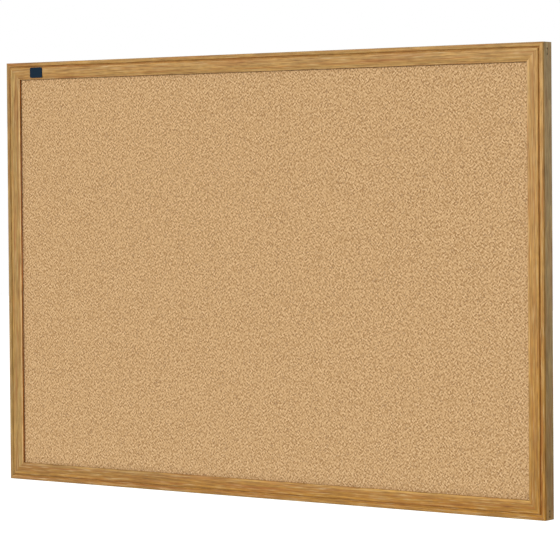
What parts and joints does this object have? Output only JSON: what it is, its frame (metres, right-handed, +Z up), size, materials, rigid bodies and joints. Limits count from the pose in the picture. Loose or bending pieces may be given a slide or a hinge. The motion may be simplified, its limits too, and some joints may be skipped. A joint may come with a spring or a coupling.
{
  "type": "cork board",
  "caption": "Wall-hung cork board: mitred oak moulding round a cork-faced soft panel, with swinging ring hangers and rubber bumpers behind.",
  "frame": {"origin": "on the wall's face, midway between the axes of the two hanging rings", "axes": "+X to the right seen from the front, +Y back into the wall, +Z up; the cork faces -Y"},
  "size_m": [0.9144, 0.0279, 0.6096],
  "materials": {
    "oak": "satin",
    "cork": "matte",
    "softboard": "matte",
    "kraft_paper": "matte",
    "galvanised_steel": "satin",
    "nickel_plate": "polished",
    "black_rubber": "matte",
    "blue_enamel": "gloss"
  },
  "bodies": {
    "board": {"top_rail": "oak", "right_stile": "oak", "bottom_rail": "oak", "left_stile": "oak", "cork_sheet": "cork", "fibreboard_core": "softboard", "backing_sheet": "kraft_paper", "face_plate": "blue_enamel", "corner_staple_top_left": "galvanised_steel", "corner_staple_top_right": "galvanised_steel", "corner_staple_bottom_left": "galvanised_steel", "corner_staple_bottom_right": "galvanised_steel", "retaining_point_top_1": "galvanised_steel", "retaining_point_top_2": "galvanised_steel", "retaining_point_top_3": "galvanised_steel", "retaining_point_top_4": "galvanised_steel", "retaining_point_bottom_1": "galvanised_steel", "retaining_point_bottom_2": "galvanised_steel", "retaining_point_bottom_3": "galvanised_steel", "retaining_point_bottom_4": "galvanised_steel", "retaining_point_left_1": "galvanised_steel", "retaining_point_left_2": "galvanised_steel", "retaining_point_left_3": "galvanised_steel", "retaining_point_right_1": "galvanised_steel", "retaining_point_right_2": "galvanised_steel", "retaining_point_right_3": "galvanised_steel", "hanger_strap_left": "nickel_plate", "hanger_strap_right": "nickel_plate", "hanger_screw_left_upper": "nickel_plate", "hanger_screw_left_lower": "nickel_plate", "hanger_screw_right_upper": "nickel_plate", "hanger_screw_right_lower": "nickel_plate", "wall_bumper_top_left": "black_rubber", "wall_bumper_top_right": "black_rubber", "wall_bumper_bottom_left": "black_rubber", "wall_bumper_bottom_right": "black_rubber"},
    "left_ring": {"hanger_ring_left": "nickel_plate"},
    "right_ring": {"hanger_ring_right": "nickel_plate"}
  },
  "joints": [
    {"name": "left_ring_swing", "type": "hinge", "parent": "board", "child": "left_ring", "pos_m": [-0.4464, -0.00255, 0], "axis": [1, 0, 0], "range_deg": [0, 180]},
    {"name": "right_ring_swing", "type": "hinge", "parent": "board", "child": "right_ring", "pos_m": [0.4464, -0.00255, 0], "axis": [1, 0, 0], "range_deg": [0, 180]}
  ]
}
